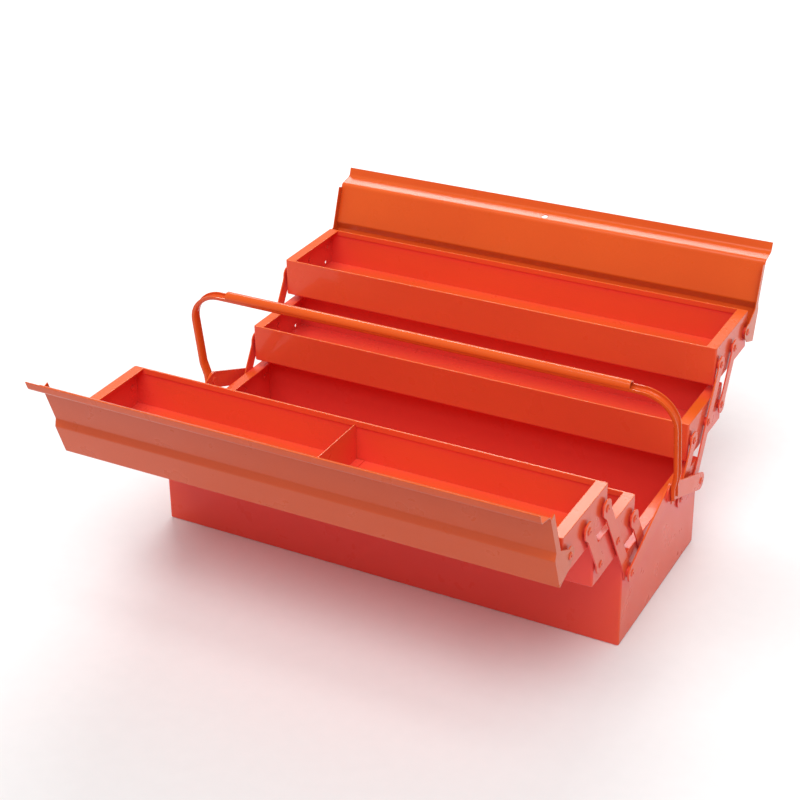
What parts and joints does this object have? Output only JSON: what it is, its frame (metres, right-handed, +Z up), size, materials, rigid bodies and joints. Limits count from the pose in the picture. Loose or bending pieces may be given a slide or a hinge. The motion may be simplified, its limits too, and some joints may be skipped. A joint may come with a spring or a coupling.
{
  "type": "cantilever tool box with trays",
  "caption": "Sheet-steel cantilever tool box: deep base, stepped trays that open to both sides on riveted links, folded hinged lids and a bail carrying handle.",
  "frame": {"origin": "middle of the underside of the base", "axes": "+X along the box to its right end, +Y to the rear, +Z up"},
  "size_m": [0.564, 0.641, 0.2683],
  "materials": {
    "body_paint": "glossy orange-red paint",
    "link_paint": "glossy orange-red paint",
    "handle_paint": "glossy orange-red paint",
    "rivet_paint": "orange-red paint, worn on the rims"
  },
  "bodies": {
    "base": {"base_tub": "body_paint", "front_stay_left": "link_paint", "front_stay_right": "link_paint", "front_stay_spacers": "rivet_paint", "front_base_rivets": "rivet_paint", "rear_stay_left": "link_paint", "rear_stay_right": "link_paint", "rear_stay_spacers": "rivet_paint", "rear_base_rivets": "rivet_paint", "handle_pivots": "rivet_paint"},
    "front_long_links": {"front_long_link_left": "link_paint", "front_long_link_right": "link_paint"},
    "front_lower_tray": {"front_lower_tray": "body_paint", "front_lower_tray_rivets": "rivet_paint"},
    "front_upper_tray": {"front_upper_tray": "body_paint", "front_upper_tray_rivets": "rivet_paint", "tray_divider": "body_paint"},
    "front_lower_links": {"front_lower_link_left": "link_paint", "front_lower_link_right": "link_paint"},
    "front_upper_links": {"front_upper_link_left": "link_paint", "front_upper_link_right": "link_paint"},
    "front_lid": {"front_lid": "body_paint"},
    "rear_long_links": {"rear_long_link_left": "link_paint", "rear_long_link_right": "link_paint"},
    "rear_lower_tray": {"rear_lower_tray": "body_paint", "rear_lower_tray_rivets": "rivet_paint"},
    "rear_upper_tray": {"rear_upper_tray": "body_paint", "rear_upper_tray_rivets": "rivet_paint"},
    "rear_lower_links": {"rear_lower_link_left": "link_paint", "rear_lower_link_right": "link_paint"},
    "rear_upper_links": {"rear_upper_link_left": "link_paint", "rear_upper_link_right": "link_paint"},
    "rear_lid": {"rear_lid": "body_paint"},
    "handle": {"handle_strap": "handle_paint", "handle_grip": "handle_paint"}
  },
  "joints": [
    {"name": "front_fold", "type": "hinge", "parent": "base", "child": "front_long_links", "pos_m": [0, -0.0975, 0.0823], "axis": [-1, 0, 0], "range_deg": [0, 75]},
    {"name": "front_lower_level", "type": "hinge", "parent": "front_long_links", "child": "front_lower_tray", "pos_m": [0, -0.12943, 0.13545], "axis": [-1, 0, 0], "range_deg": [-75, 0]},
    {"name": "front_upper_level", "type": "hinge", "parent": "front_long_links", "child": "front_upper_tray", "pos_m": [0, -0.16137, 0.18859], "axis": [-1, 0, 0], "range_deg": [-75, 0]},
    {"name": "front_lower_link_fold", "type": "hinge", "parent": "base", "child": "front_lower_links", "pos_m": [0, -0.0535, 0.0823], "axis": [-1, 0, 0], "range_deg": [0, 75]},
    {"name": "front_upper_link_fold", "type": "hinge", "parent": "front_lower_tray", "child": "front_upper_links", "pos_m": [0, -0.17343, 0.13545], "axis": [-1, 0, 0], "range_deg": [0, 75]},
    {"name": "front_lid_hinge", "type": "hinge", "parent": "front_upper_tray", "child": "front_lid", "pos_m": [0, -0.24937, 0.18859], "axis": [-1, 0, 0], "range_deg": [0, 110]},
    {"name": "rear_fold", "type": "hinge", "parent": "base", "child": "rear_long_links", "pos_m": [0, 0.0975, 0.0823], "axis": [1, 0, 0], "range_deg": [0, 75]},
    {"name": "rear_lower_level", "type": "hinge", "parent": "rear_long_links", "child": "rear_lower_tray", "pos_m": [0, 0.12943, 0.13545], "axis": [1, 0, 0], "range_deg": [-75, 0]},
    {"name": "rear_upper_level", "type": "hinge", "parent": "rear_long_links", "child": "rear_upper_tray", "pos_m": [0, 0.16137, 0.18859], "axis": [1, 0, 0], "range_deg": [-75, 0]},
    {"name": "rear_lower_link_fold", "type": "hinge", "parent": "base", "child": "rear_lower_links", "pos_m": [0, 0.0535, 0.0823], "axis": [1, 0, 0], "range_deg": [0, 75]},
    {"name": "rear_upper_link_fold", "type": "hinge", "parent": "rear_lower_tray", "child": "rear_upper_links", "pos_m": [0, 0.17343, 0.13545], "axis": [1, 0, 0], "range_deg": [0, 75]},
    {"name": "rear_lid_hinge", "type": "hinge", "parent": "rear_upper_tray", "child": "rear_lid", "pos_m": [0, 0.24937, 0.18859], "axis": [1, 0, 0], "range_deg": [0, 110]},
    {"name": "handle_swing", "type": "hinge", "parent": "base", "child": "handle", "pos_m": [0, 0, 0.1205], "axis": [-1, 0, 0], "range_deg": [0, 18]}
  ],
  "couplings": [
    {"joint": "front_lower_level", "follows": "front_fold", "ratio": -1},
    {"joint": "front_upper_level", "follows": "front_fold", "ratio": -1},
    {"joint": "front_lower_link_fold", "follows": "front_fold", "ratio": 1},
    {"joint": "front_upper_link_fold", "follows": "front_fold", "ratio": 1},
    {"joint": "rear_lower_level", "follows": "rear_fold", "ratio": -1},
    {"joint": "rear_upper_level", "follows": "rear_fold", "ratio": -1},
    {"joint": "rear_lower_link_fold", "follows": "rear_fold", "ratio": 1},
    {"joint": "rear_upper_link_fold", "follows": "rear_fold", "ratio": 1}
  ]
}
